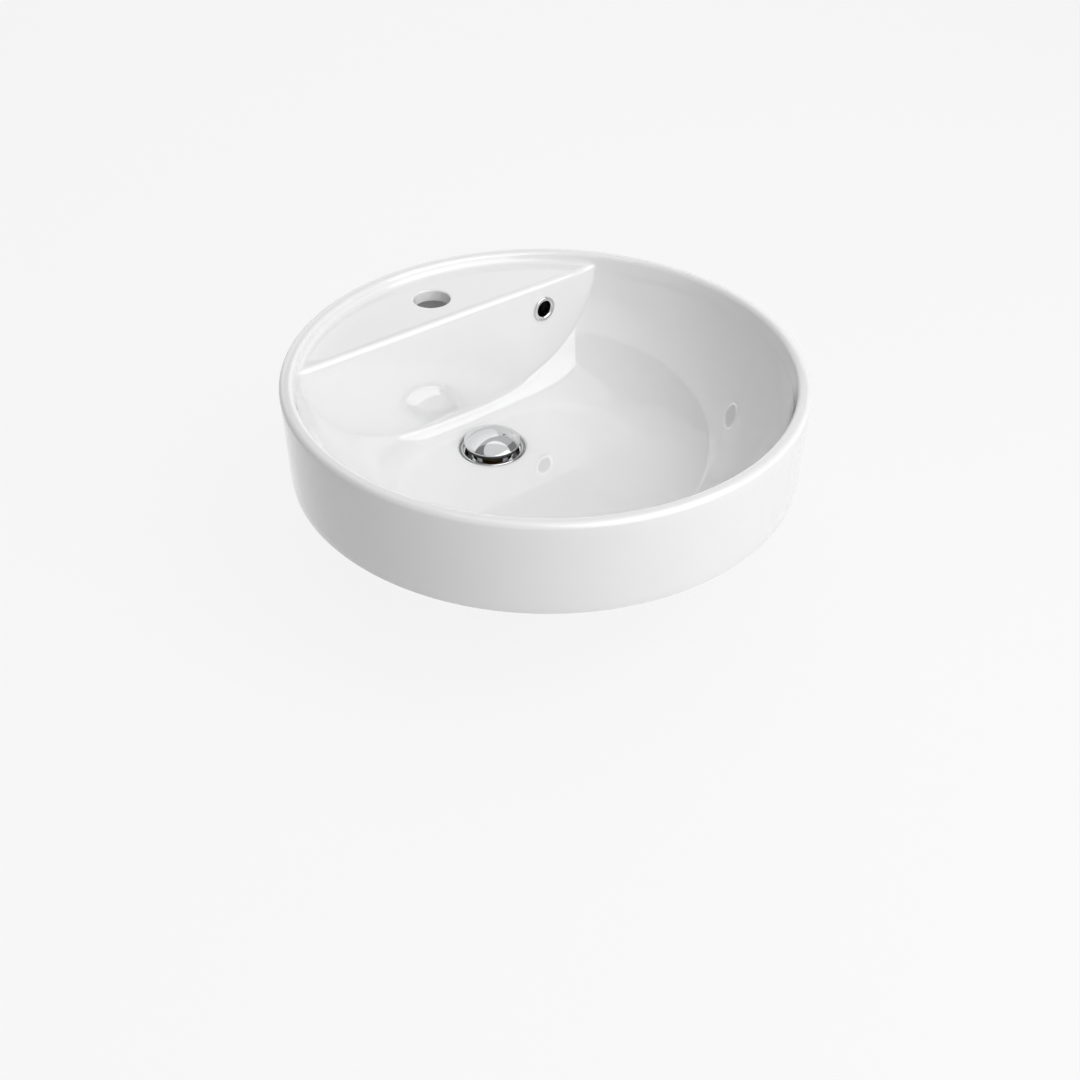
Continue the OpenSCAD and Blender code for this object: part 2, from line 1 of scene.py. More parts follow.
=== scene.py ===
"""Round inset basin in white glazed ceramic, with a tap shelf, an overflow and a push-button waste.

Every size is in millimetres and becomes metres as its mesh is made. The origin is the middle of the
footing ring, +Z is up and +Y is the tap side.
"""

import math

import bmesh
import bpy
import numpy as np
from mathutils import Matrix, Vector


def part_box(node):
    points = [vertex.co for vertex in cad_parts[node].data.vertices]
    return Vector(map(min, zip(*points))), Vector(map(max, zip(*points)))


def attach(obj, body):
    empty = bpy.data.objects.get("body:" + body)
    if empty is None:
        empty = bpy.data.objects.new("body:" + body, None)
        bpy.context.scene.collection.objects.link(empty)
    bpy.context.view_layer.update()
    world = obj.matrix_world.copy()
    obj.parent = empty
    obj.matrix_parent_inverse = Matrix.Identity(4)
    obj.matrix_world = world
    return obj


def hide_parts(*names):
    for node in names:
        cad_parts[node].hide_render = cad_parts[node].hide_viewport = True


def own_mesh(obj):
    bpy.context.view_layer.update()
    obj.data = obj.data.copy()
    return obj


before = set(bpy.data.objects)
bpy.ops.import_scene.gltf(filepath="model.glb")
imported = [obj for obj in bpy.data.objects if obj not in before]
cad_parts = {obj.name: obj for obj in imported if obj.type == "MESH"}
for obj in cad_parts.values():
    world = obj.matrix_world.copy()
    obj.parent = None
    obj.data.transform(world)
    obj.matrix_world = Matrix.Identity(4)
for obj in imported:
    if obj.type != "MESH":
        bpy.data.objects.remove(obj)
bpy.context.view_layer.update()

# Ceramic basin. One hollow casting in vitreous china, glazed white all over and wiped bare under the foot.
# It is a stack of loops with the same number of points: up the outer wall, over the rim, down into the
# bowl, through the outlet, out along the underside and down the inside of the wall to the foot again.
MM = 0.001
RIM_R = 225.0
BORE_R = 213.0
RIM_Z = 85.0
RIM_EDGE = 4.5
FOOT_EDGE = 1.5
SHELF_Z = 75.0
CERAMIC_T = 11.0
SHELF_EDGE = 4.5
COVE = 5.0
FACE_Y = 130.0
FACE_FOOT = 18.0
REBATE_IN = 9.2
REBATE_OUT = 2.8
REBATE_H = 2.2
FLOOR_Z = -44.0
FLOOR_FALL = math.tan(math.radians(1.0))
CURVE_Z = 70.0
CURVE_R = 212.0
CURVE_W = 84.0
FULLNESS = 2 / 1.7
DRAIN_Y = 79.5
HORN_R = 5.0
CORNER_COLUMNS = 17
FACE_COLUMNS = 97
WALL_COLUMNS = 203
SIDE_STEP = 0.5
SIDE_BLUR = 6.0
FLOOR_END_R = 60.0


def arc(x, y, r, start, end, steps):
    """Points of an arc, first and last included."""
    turns = np.radians(np.linspace(start, end, steps + 1))
    return [(x + r * math.cos(a), y + r * math.sin(a)) for a in turns]


def level(points, z):
    """Points in plan, set at a height."""
    return np.column_stack([points, np.broadcast_to(z, len(points))])


def floor_at(y):
    """The floor of the bowl falls by one degree towards the outlet."""
    return FLOOR_Z + (FACE_Y - FACE_FOOT - y) * FLOOR_FALL


def plan(radius, face_y, corner_r):
    """A level cut through the bowl: a circle whose back is cut off straight, with two round corners."""
    corner_x = math.sqrt((radius - corner_r) ** 2 - (face_y - corner_r) ** 2)
    meet = math.degrees(math.atan2(face_y - corner_r, corner_x))
    right = arc(corner_x, face_y - corner_r, corner_r, meet, 90, CORNER_COLUMNS - 1)
    face = [(x, face_y) for x in np.linspace(corner_x, -corner_x, FACE_COLUMNS + 2)[1:-1]]
    left = [(-x, y) for x, y in reversed(right)]
    wall = arc(0, 0, radius, 180 - meet, 360 + meet, WALL_COLUMNS + 1)[1:-1]
    return np.array(right + face + left + wall)


def skin(name, loops, closed=True):
    """A smooth mesh over a stack of loops."""
    grid = np.array(loops)
    index = np.arange(grid.shape[0] * grid.shape[1]).reshape(grid.shape[:2])
    if closed:
        index = np.vstack([index, index[:1]])
    low, high = index[:-1], index[1:]
    faces = np.stack([low, np.roll(low, -1, 1), np.roll(high, -1, 1), high], -1).reshape(-1, 4)
    mesh = bpy.data.meshes.new(name)
    mesh.from_pydata((grid.reshape(-1, 3) * MM).tolist(), [], faces.tolist())
    shape = bmesh.new()
    shape.from_mesh(mesh)
    bmesh.ops.remove_doubles(shape, verts=shape.verts, dist=0.02 * MM)
    bmesh.ops.recalc_face_normals(shape, faces=shape.faces)
    shape.to_mesh(mesh)
    shape.free()
    mesh.shade_smooth()
    piece = bpy.data.objects.new(name, mesh)
    bpy.context.scene.collection.objects.link(piece)
    return piece


def combine(piece, other, operation):
    """Joins another solid to a piece or cuts it away, and drops the other solid."""
    step = piece.modifiers.new("join", "BOOLEAN")
    step.operation = operation
    step.object = other
    step.solver = "EXACT"
    step.material_mode = "TRANSFER"
    shaped = piece.evaluated_get(bpy.context.evaluated_depsgraph_get())
    piece.data = bpy.data.meshes.new_from_object(shaped)
    piece.modifiers.clear()
    bpy.data.objects.remove(other)


def soften(width, reach):
    """Weights of a smooth blur, for samples that lie a step apart."""
    at = np.arange(-reach, reach + SIDE_STEP / 2, SIDE_STEP)
    weights = np.exp(-0.5 * (at / width) ** 2)
    return weights / weights.sum()


# Section of the bowl's round side: a steep wall, a wide curve and the level floor, blurred where they meet.
curve = np.radians(np.linspace(0, 90, 600))
wall_r = np.linspace(BORE_R, CURVE_R, 40)[:-1]
wall_z = np.linspace(RIM_Z - RIM_EDGE, CURVE_Z, 40)[:-1]
curve_r = CURVE_R - CURVE_W + CURVE_W * np.cos(curve) ** FULLNESS
curve_z = CURVE_Z - (CURVE_Z - FLOOR_Z) * np.sin(curve) ** FULLNESS
level_r = np.linspace(CURVE_R - CURVE_W - 0.1, FLOOR_END_R, 200)
side_r = np.concatenate([wall_r, curve_r, level_r])
side_z = np.concatenate([wall_z, curve_z, np.full(len(level_r), FLOOR_Z)])
way = np.concatenate([[0], np.cumsum(np.hypot(np.diff(side_r), np.diff(side_z)))])
even = np.arange(0, way[-1], SIDE_STEP)
side_r, side_z = np.interp(even, way, side_r), np.interp(even, way, side_z)
blur = soften(SIDE_BLUR, 3 * SIDE_BLUR)
inner = slice(len(blur) // 2, -(len(blur) // 2))
side_r[inner] = np.convolve(side_r, blur, "valid")
side_z[inner] = np.convolve(side_z, blur, "valid")


def side_radius(z):
    """Radius of the bowl's side at a height, from the rim to the end of its curve."""
    return np.interp(z, side_z[::-1], side_r[::-1])


EDGE_Z = SHELF_Z - SHELF_EDGE
edge = plan(side_radius(EDGE_Z), FACE_Y, HORN_R)
behind = np.arange(len(edge)) < 2 * CORNER_COLUMNS + FACE_COLUMNS
wall_y = np.sqrt(np.maximum(0, side_radius(EDGE_Z) ** 2 - edge[:, 0] ** 2))
turn = np.where(behind, np.arctan2(wall_y, edge[:, 0]), np.arctan2(edge[:, 1], edge[:, 0]))
circle = np.column_stack([np.cos(turn), np.sin(turn)])
shelf_w = np.where(behind, wall_y - edge[:, 1], 0)
first_turn = math.asin((FACE_Y - HORN_R) / (side_radius(EDGE_Z) - HORN_R))
corner_turn = np.linspace(first_turn, math.pi / 2, CORNER_COLUMNS)
edge_w = np.full(len(edge), SHELF_EDGE)
edge_w[:CORNER_COLUMNS] /= np.sin(corner_turn)
edge_w[CORNER_COLUMNS + FACE_COLUMNS:][:CORNER_COLUMNS] /= np.sin(corner_turn[::-1])
cove_w = COVE / np.maximum(circle[:, 1], 0.3)
room = np.clip(shelf_w / (cove_w + edge_w), 0, 1)

outside = [(RIM_R - REBATE_IN, 0), (RIM_R - REBATE_IN, REBATE_H)]
outside += [(RIM_R - REBATE_OUT, REBATE_H), (RIM_R - REBATE_OUT, 0)]
outside += arc(RIM_R - FOOT_EDGE, FOOT_EDGE, FOOT_EDGE, -90, 0, 4)
outside += [(RIM_R, z) for z in np.linspace(FOOT_EDGE, RIM_Z - RIM_EDGE, 11)[1:-1]]
outside += arc(RIM_R - RIM_EDGE, RIM_Z - RIM_EDGE, RIM_EDGE, 0, 90, 9)
outside += arc(BORE_R + RIM_EDGE, RIM_Z - RIM_EDGE, RIM_EDGE, 90, 184, 9)
loops = [level(circle * r, z) for r, z in outside]


def shelf_loop(z, forward):
    """A loop that follows the side in front, and behind has come forward over the shelf."""
    points = circle * side_radius(z)
    points[:, 1] -= forward
    return level(points, z)


for a in np.radians(np.linspace(0, 90, 8)):
    loops.append(shelf_loop(SHELF_Z + COVE * (1 - math.sin(a)), cove_w * room * (1 - math.cos(a))))
for t in np.linspace(0, 1, 22)[1:-1]:
    loops.append(shelf_loop(SHELF_Z, cove_w * room + t * (shelf_w - (cove_w + edge_w) * room)))
for a in np.radians(np.linspace(0, 90, 8)):
    forward = shelf_w - edge_w * room * (1 - math.sin(a))
    loops.append(shelf_loop(SHELF_Z - SHELF_EDGE * (1 - math.cos(a)), forward))


# Bowl below the shelf. One smooth surface, its round side melted into the curve that rises from the floor to
# the face. The upright face cuts it along a U-shaped crease.
FOOT_Y = 107.0
FOOT_R = 24.3
CREASE_Z = -27.5
LEAN = 0.339
MELT = 26.5
UPPER_Z = 66.0
LIP_R = 3.0
RECESS_R = 31.5
FARTHEST = 320.0


def foot_y(z):
    """How far back the curve below the face reaches. Above the crease it runs on behind the face."""
    h = np.clip(z - FLOOR_Z, 0, CREASE_Z - FLOOR_Z)
    return FOOT_Y + np.sqrt(FOOT_R**2 - (FOOT_R - h) ** 2) + np.maximum(z - CREASE_Z, 0) * LEAN


def depth_inside(x, y, z):
    """How far inside the bowl's surface a point lies."""
    side = side_radius(z) - np.hypot(x, y)
    foot = foot_y(z) - y
    melted = np.maximum(MELT - np.abs(side - foot), 0)
    return np.minimum(side, foot) - melted**2 / (4 * MELT)


# The bowl's surface as a chart: for each direction from the outlet, the way from the upper level to the lip.
directions = np.radians(np.arange(0, 361, 0.5))[:, None]
heights = FLOOR_Z + (UPPER_Z - FLOOR_Z) * np.linspace(1, 0, 320)[:-1] ** 2
near = np.zeros((len(directions), len(heights)))
far = np.full(near.shape, FARTHEST)
for _ in range(32):
    middle = (near + far) / 2
    within = depth_inside(middle * np.cos(directions), DRAIN_Y + middle * np.sin(directions), heights) > 0
    near, far = np.where(within, middle, near), np.where(within, far, middle)
shares = np.linspace(0, 1, 400)
chart = np.zeros((len(directions), len(shares), 2))
for row, reach in zip(chart, near):
    reach, height = np.append(reach, 0), np.append(heights, FLOOR_Z)
    way = np.concatenate([[0], np.cumsum(np.hypot(np.diff(reach), np.diff(height)))])
    at = shares * np.interp(-RECESS_R - LIP_R, -reach, way)
    row[:] = np.column_stack([np.interp(at, way, reach), np.interp(at, way, height)])


def on_bowl(direction, share):
    """Points of the bowl's surface, from their direction and their share of the way down to the lip."""
    a, b = np.mod(np.degrees(direction), 360) * 2, share * (len(shares) - 1)
    i, j = a.astype(int), np.minimum(b.astype(int), len(shares) - 2)
    a, b = (a - i)[:, None], (b - j)[:, None]
    above = chart[i, j] * (1 - a) + chart[i + 1, j] * a
    below = chart[i, j + 1] * (1 - a) + chart[i + 1, j + 1] * a
    reach, height = (above * (1 - b) + below * b).T
    return np.column_stack([reach * np.cos(direction), DRAIN_Y + reach * np.sin(direction), height])


# The crease, from its right end down to its level middle and up again, and the columns spread along it.
down = CREASE_Z + (UPPER_Z - CREASE_Z) * np.linspace(1, 0, 400) ** 2
melted = (math.sqrt(MELT) - np.sqrt(np.clip(foot_y(down) - FACE_Y, 0, MELT))) ** 2
crease_x = np.sqrt((side_radius(down) - melted) ** 2 - FACE_Y**2)
crease_x = np.append(crease_x, np.linspace(crease_x[-1], 0, 60)[1:])
down = np.append(down, np.full(59, CREASE_Z))
crease_x, down = np.append(crease_x, -crease_x[-2::-1]), np.append(down, down[-2::-1])
way = np.concatenate([[0], np.cumsum(np.hypot(np.diff(crease_x), np.diff(down)))])
upper_r = side_radius(UPPER_Z)
corner = np.linspace(-HORN_R / 2, HORN_R / 2, CORNER_COLUMNS)
between = np.linspace(corner[-1], way[-1] - corner[-1], FACE_COLUMNS + 2)[1:-1]
along = np.concatenate([corner, between, way[-1] + corner])
crease = level(circle * upper_r, UPPER_Z)
crease[behind, 0] = np.interp(along, way, crease_x)
crease[behind, 1] = FACE_Y
crease[behind, 2] = np.interp(along, way, down)
for j in np.flatnonzero((along < 0) | (along > way[-1])):
    turned_by = along[j] if along[j] < 0 else along[j] - way[-1]
    bearing = math.atan2(FACE_Y, crease[j, 0]) + turned_by / upper_r
    crease[j] = [upper_r * math.cos(bearing), upper_r * math.sin(bearing), UPPER_Z]
leave = np.unwrap(np.arctan2(crease[:, 1] - DRAIN_Y, crease[:, 0]))
back_turn = math.pi * along / way[-1]
front_turn = np.linspace(back_turn[-1], 2 * math.pi + back_turn[0], len(edge) - len(along) + 2)[1:-1]
spread = np.append(back_turn, front_turn)
share = np.zeros(len(edge))
for j in np.flatnonzero(crease[:, 2] < UPPER_Z):
    beyond = np.full(len(shares), leave[j])
    share[j] = np.interp(-crease[j, 2], -on_bowl(beyond, shares)[:, 2], shares)
top_row = loops[-1]
bowl = [crease * (1 - t) + top_row * t for t in np.linspace(1, 0, 25)[1:] ** 1.8]
for t in np.linspace(0, 1, 91)[1:] ** 1.5:
    bowl.append(on_bowl(leave + (spread - leave) * t, share + (1 - share) * t))
bowl = np.array([top_row] + bowl)
# Each column is blurred along its way, which rounds the crease, and the floor is tilted towards the outlet.
CREASE_BLUR = 2.0
blur = soften(CREASE_BLUR, 6 * CREASE_BLUR)
tail = len(blur) // 2
for j in range(bowl.shape[1]):
    way = np.concatenate([[0], np.cumsum(np.linalg.norm(np.diff(bowl[:, j], axis=0), axis=1))])
    even = np.arange(0, way[-1], SIDE_STEP)
    for k in range(3):
        line = np.interp(even, way, bowl[:, j, k])
        before = 2 * line[0] - line[tail:0:-1]
        after = 2 * line[-1] - line[-2 : -tail - 2 : -1]
        line = np.convolve(np.concatenate([before, line, after]), blur, "valid")
        bowl[1:-1, j, k] = np.interp(way[1:-1], even, line)
depth = np.maximum((CURVE_Z - bowl[:, :, 2]) / (CURVE_Z - FLOOR_Z), 0)
bowl[:, :, 2] += (floor_at(bowl[:, :, 1]) - FLOOR_Z) * depth**4
loops += list(bowl[1:])

lip_z = floor_at(DRAIN_Y)
lip_rise = bowl[-1, :, 2] - lip_z
round_drain = np.column_stack([np.cos(spread), np.sin(spread)])


def drain_loop(r, z):
    """A loop round the axis of the outlet."""
    return level(round_drain * r + [0, DRAIN_Y], z)


OUTLET_R = 23.0
BOSS_R = 40.0
BOSS_Z = -96.0
BOSS_TOP = -62.0
BOSS_EDGE = 2.0
BOSS_FILLET = 6.0
FLANGE_DROP = 1.4
FLANGE_R = 30.0
SEAT_DROP = 4.9
SEAT_SLOPE = 0.6
LIP_STEPS = 8
flange_z = lip_z - FLANGE_DROP


def seat_at(r):
    """Height of the sloping seat in the ceramic, on which the flange's seal lies."""
    return flange_z - SEAT_DROP - (FLANGE_R - r) * SEAT_SLOPE


for i, (r, z) in enumerate(arc(RECESS_R + LIP_R, lip_z - LIP_R, LIP_R, 90, 180, LIP_STEPS)[1:], 1):
    loops.append(drain_loop(r, z + lip_rise * (LIP_STEPS - i) / LIP_STEPS))
outlet = [(RECESS_R, seat_at(RECESS_R)), (OUTLET_R + 1, seat_at(OUTLET_R + 1))]
outlet += [(OUTLET_R, z) for z in np.linspace(seat_at(OUTLET_R) - 1, BOSS_Z + 1, 6)]
outlet += [(OUTLET_R + 1, BOSS_Z)] + arc(BOSS_R - BOSS_EDGE, BOSS_Z + BOSS_EDGE, BOSS_EDGE, -90, 0, 4)
outlet += [(BOSS_R, z) for z in np.linspace(BOSS_Z + BOSS_EDGE, BOSS_TOP, 5)[1:]]
outlet += arc(BOSS_R + BOSS_FILLET, BOSS_TOP, BOSS_FILLET, 180, 90, 5)[1:]
loops += [drain_loop(r, z) for r, z in outlet]

# The underside follows the bowl a wall's thickness away, up to the ceiling below the shelf.
CEILING_Z = SHELF_Z - CERAMIC_T
SHOULDER_Z = 23.0
SHOULDER_W = 14.0
SHOULDER_ROW = 30
CORNER_R = 9.0
CORNER_GROWTH = 20.0


def under_loop(radius, z):
    """A loop of the bowl's underside, at a height."""
    drop = (CURVE_Z - z) / (CURVE_Z - FLOOR_Z + CERAMIC_T)
    face_r = FACE_FOOT + CERAMIC_T
    foot = min(face_r, max(0, FLOOR_Z + FACE_FOOT - z))
    face_y = FACE_Y - FACE_FOOT + math.sqrt(face_r**2 - foot**2)
    points = plan(radius, face_y, CORNER_R + CERAMIC_T + CORNER_GROWTH * drop**3)
    return level(points, z + (floor_at(points[:, 1]) - FLOOR_Z) * drop**4)


under = []
for a in np.radians(np.linspace(85.5, 3.5, 44)):
    radius = min(BORE_R, CURVE_R - CURVE_W + (CURVE_W + CERAMIC_T) * math.cos(a) ** FULLNESS)
    under.append(under_loop(radius, CURVE_Z - (CURVE_Z - FLOOR_Z + CERAMIC_T) * math.sin(a) ** FULLNESS))
under = np.array(under)
gap_w = np.where(behind, circle[:, 1] * BORE_R - under[SHOULDER_ROW][:, 1], 0)
lift = np.clip(gap_w / SHOULDER_W, 0, 1)
top_z = SHOULDER_Z + (CEILING_Z - SHOULDER_Z) * lift * lift * (3 - 2 * lift)
for j in range(under.shape[1]):
    wanted = np.linspace(under[0, j, 2], top_z[j], len(under))
    x, y = (np.interp(wanted, under[:, j, 2], under[:, j, k]) for k in (0, 1))
    under[:, j] = np.column_stack([x, y, wanted])
for t in np.linspace(0, 1, 10)[1:-1]:
    loops.append(drain_loop(BOSS_R + BOSS_FILLET, BOSS_TOP + BOSS_FILLET) * (1 - t) + under[0] * t)
loops += list(under)
ceiling_end = level(circle * BORE_R, top_z)
loops += [under[-1] * (1 - t) + ceiling_end * t for t in np.linspace(0, 1, 12)[1:]]
loops += [ceiling_end * [1, 1, t] for t in np.linspace(1, 0, 8)[1:]]
basin = skin("basin", loops)

# Overflow channel. It is cast with the basin: from the hole in the face it runs down behind the face, then
# under the floor to the outlet. The glaze doesn't reach its inside.
OVERFLOW_X = 103.0
OVERFLOW_Z = 48.0
OVERFLOW_R = 10.6
CHANNEL_T = 7.0
CHANNEL_W = 22.0
CHANNEL_BACK = 151.0
FALL_Y = 145.0
FALL_D = 26.0
HOLLOW_D = 10.0
RUN_Z = -71.0
RUN_W = 16.0
RUN_H = 14.0
RUN_END_R = 31.0
RUN_MOUTH_R = 15.0


def bar(name, start, end, across, width, height, corner):
    """A straight bar with round edges and ends; its width lies along across."""
    start, end, across = np.array(start), np.array(end), np.array(across) / np.linalg.norm(across)
    along = (end - start) / np.linalg.norm(end - start)
    upward = np.cross(along, across)
    w, h = width / 2 - corner, height / 2 - corner
    bends = np.radians(np.arange(0, 360, 15) + 7.5)
    corner_x, corner_y = np.sign(np.cos(bends)) * w, np.sign(np.sin(bends)) * h
    rings = [np.tile(start, (len(bends), 1))]
    for place, inward, steps in ((start, 1, (90, 60, 30, 0)), (end, -1, (0, 30, 60, 90))):
        for a in np.radians(steps):
            x = corner_x + corner * math.cos(a) * np.cos(bends)
            y = corner_y + corner * math.cos(a) * np.sin(bends)
            middle = place + along * inward * corner * (1 - math.sin(a))
            rings.append(middle + np.outer(x, across) + np.outer(y, upward))
    rings.append(np.tile(end, (len(bends), 1)))
    return skin(name, rings, closed=False)


def turned(name, outline, around=96, place=(0, DRAIN_Y)):
    """A turned piece, from the outline of its section as radius and height."""
    turns = np.linspace(0, 2 * math.pi, around, endpoint=False)
    ring = np.column_stack([np.cos(turns), np.sin(turns)])
    piece = skin(name, [level(ring * r + place, z) for r, z in outline])
    piece.data.set_sharp_from_angle(angle=math.radians(40))
    return piece


top = OVERFLOW_Z + OVERFLOW_R
run_start = (OVERFLOW_X, (FACE_Y + CERAMIC_T + CHANNEL_BACK) / 2, RUN_Z)
run_side = (run_start[1] - DRAIN_Y, -OVERFLOW_X, 0)
to_drain = np.array([-OVERFLOW_X, DRAIN_Y - run_start[1], 0])
to_drain /= np.linalg.norm(to_drain)
drain = np.array([0, DRAIN_Y, RUN_Z])
fall_end = RUN_Z - RUN_H / 2 - CHANNEL_T
fall = bar("channel_fall", (OVERFLOW_X, FALL_Y, top + CHANNEL_T), (OVERFLOW_X, FALL_Y, fall_end), (1, 0, 0),
           CHANNEL_W + 2 * CHANNEL_T, FALL_D, CHANNEL_T)
run = bar("channel_run", run_start, drain - to_drain * RUN_END_R, run_side,
          RUN_W + 2 * CHANNEL_T, RUN_H + 2 * CHANNEL_T, CHANNEL_T)
combine(basin, fall, "UNION")
combine(basin, run, "UNION")
hollow_y = run_start[1]
hollow_end = RUN_Z - RUN_H / 2
hollow = bar("fall_hollow", (OVERFLOW_X, hollow_y, top), (OVERFLOW_X, hollow_y, hollow_end), (1, 0, 0),
             CHANNEL_W, HOLLOW_D, 2)
run_hollow = bar("run_hollow", run_start, drain - to_drain * RUN_MOUTH_R, run_side, RUN_W, RUN_H, 2)
section = [(0, FACE_Y - 2), (OVERFLOW_R, FACE_Y - 2), (OVERFLOW_R, FACE_Y + 13), (0, FACE_Y + 13)]
hole = turned("overflow_hole", section, 64, (0, 0))
to_face = Matrix.Translation((OVERFLOW_X * MM, 0, OVERFLOW_Z * MM))
hole.data.transform(to_face @ Matrix.Rotation(-math.pi / 2, 4, "X"))
TAP_Y = 171.0
TAP_R = 17.5
TAP_EDGE = 1.5
rounding = [(TAP_R + TAP_EDGE - TAP_EDGE * math.cos(a), SHELF_Z - TAP_EDGE * (1 - math.sin(a)))
            for a in np.radians([0, 15, 30, 45, 60, 72, 82, 88, 90])]
section = [(0, 58), (TAP_R, 58)] + rounding + [(TAP_R + TAP_EDGE, 90), (0, 90)]
tap_hole = turned("tap_hole", section, 80, (0, TAP_Y))


# The glaze is a clear, hard gloss over a white body, with the faintest swell and change of tone from firing.
# It leaves the foot as bare, fired clay. The unglazed inside of the overflow channel is coloured nearly
# black: painted shade for its deep hollow.
def finish(name, colour, roughness, metallic=0.0):
    """A material and its surface shader, ready for its own detail."""
    material = bpy.data.materials.new(name)
    material.use_nodes = True
    shader = material.node_tree.nodes["Principled BSDF"]
    shader.inputs["Base Color"].default_value = (*colour, 1)
    shader.inputs["Roughness"].default_value = roughness
    shader.inputs["Metallic"].default_value = metallic
    return material, shader


def effect(name, inputs, outputs):
    """An empty group of nodes with named sockets."""
    group = bpy.data.node_groups.new(name, "ShaderNodeTree")
    for label, kind, value in inputs:
        group.interface.new_socket(label, in_out="INPUT", socket_type=kind).default_value = value
    for label, kind in outputs:
        group.interface.new_socket(label, in_out="OUTPUT", socket_type=kind)
    return group, group.nodes.new("NodeGroupInput"), group.nodes.new("NodeGroupOutput")


uneven, given, made = effect(
    "uneven surface",
    [("Size", "NodeSocketFloat", 20.0), ("Dark", "NodeSocketColor", (0, 0, 0, 1)),
     ("Light", "NodeSocketColor", (1, 1, 1, 1)), ("Smooth", "NodeSocketFloat", 0.1),
     ("Rough", "NodeSocketFloat", 0.2)],
    [("Colour", "NodeSocketColor"), ("Roughness", "NodeSocketFloat"), ("Height", "NodeSocketFloat")])
place = uneven.nodes.new("ShaderNodeTexCoord")
clouds = uneven.nodes.new("ShaderNodeTexNoise")
clouds.inputs["Detail"].default_value = 3.0
tone = uneven.nodes.new("ShaderNodeMix")
tone.data_type = "RGBA"
gloss = uneven.nodes.new("ShaderNodeMapRange")
uneven.links.new(place.outputs["Object"], clouds.inputs["Vector"])
uneven.links.new(given.outputs["Size"], clouds.inputs["Scale"])
uneven.links.new(clouds.outputs["Fac"], tone.inputs["Factor"])
uneven.links.new(given.outputs["Dark"], tone.inputs["A"])
uneven.links.new(given.outputs["Light"], tone.inputs["B"])
uneven.links.new(clouds.outputs["Fac"], gloss.inputs["Value"])
uneven.links.new(given.outputs["Smooth"], gloss.inputs["To Min"])
uneven.links.new(given.outputs["Rough"], gloss.inputs["To Max"])
uneven.links.new(tone.outputs["Result"], made.inputs["Colour"])
uneven.links.new(gloss.outputs["Result"], made.inputs["Roughness"])
uneven.links.new(clouds.outputs["Fac"], made.inputs["Height"])


def vary(material, shader, size, dark, light, smooth, rough, relief):
    """Gives a material its own unevenness of colour, gloss and height; relief is in millimetres."""
    nodes, links = material.node_tree.nodes, material.node_tree.links
    detail = nodes.new("ShaderNodeGroup")
    detail.node_tree = uneven
    detail.inputs["Size"].default_value = size
    detail.inputs["Dark"].default_value = (*dark, 1)
    detail.inputs["Light"].default_value = (*light, 1)
    detail.inputs["Smooth"].default_value = smooth
    detail.inputs["Rough"].default_value = rough
    bump = nodes.new("ShaderNodeBump")
    bump.inputs["Strength"].default_value = 1.0
    bump.inputs["Distance"].default_value = relief * MM
    links.new(detail.outputs["Colour"], shader.inputs["Base Color"])
    links.new(detail.outputs["Roughness"], shader.inputs["Roughness"])
    links.new(detail.outputs["Height"], bump.inputs["Height"])
    links.new(bump.outputs["Normal"], shader.inputs["Normal"])


glaze, shader = finish("white_glaze", (0.86, 0.86, 0.86), 0.015)
shader.inputs["Coat Weight"].default_value = 0.8
shader.inputs["Coat Roughness"].default_value = 0.01
vary(glaze, shader, 22.0, (0.85, 0.85, 0.852), (0.87, 0.87, 0.87), 0.008, 0.02, 0.006)
clay, shader = finish("bare_clay", (0.7, 0.68, 0.64), 0.8)
vary(clay, shader, 400.0, (0.5, 0.48, 0.44), (0.62, 0.6, 0.56), 0.75, 0.9, 0.15)

# Painted shade: the inside of the overflow channel is coloured nearly black for the shade deep in the hole.
painted_shade_clay, shader = finish("channel_clay_painted_shade", (0.03, 0.027, 0.024), 0.9)
vary(painted_shade_clay, shader, 300.0, (0.015, 0.013, 0.012), (0.04, 0.036, 0.032), 0.8, 0.95, 0.15)

# The hollows that are cut away carry the painted shade onto the channel's inside.
for cutter in (hollow, run_hollow):
    cutter.data.materials.append(painted_shade_clay)
for cutter in (hole, tap_hole):
    cutter.data.materials.append(glaze)
basin.data.materials.clear()
basin.data.materials.append(glaze)
basin.data.materials.append(clay)
for cutter in (hollow, run_hollow, hole, tap_hole):
    combine(basin, cutter, "DIFFERENCE")
FOOT_INNER_R = 212.5
for face in basin.data.polygons:
    if face.center.z < 0.3 * MM and math.hypot(face.center.x, face.center.y) > FOOT_INNER_R * MM:
        face.material_index = 1
basin.data.shade_smooth()
basin.data.set_sharp_from_angle(angle=math.radians(50))
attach(basin, "basin")
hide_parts("basin_body")

# Sealing strip. A ring of black closed-cell foam that keeps water from running in under the foot.
# It is laid in the rebate of the foot, where the basin's weight presses it flat.
STRIP_IN = 216.0
STRIP_OUT = 222.0
STRIP_H = 2.0
STRIP_EDGE = 0.6
foam, shader = finish("foam_strip", (0.03, 0.03, 0.03), 0.9)
vary(foam, shader, 900.0, (0.015, 0.015, 0.015), (0.05, 0.05, 0.05), 0.8, 0.95, 0.2)
section = []
left, right = STRIP_IN + STRIP_EDGE, STRIP_OUT - STRIP_EDGE
low, high = STRIP_EDGE, STRIP_H - STRIP_EDGE
for r, z, start in ((left, low, 270), (left, high, 180), (right, high, 90), (right, low, 0)):
    section += arc(r, z, STRIP_EDGE, start, start - 90, 4)
strip = turned("sealing_strip", section, 240, (0, 0))
strip.data.materials.append(foam)
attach(strip, "basin")
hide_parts("counter_seal")

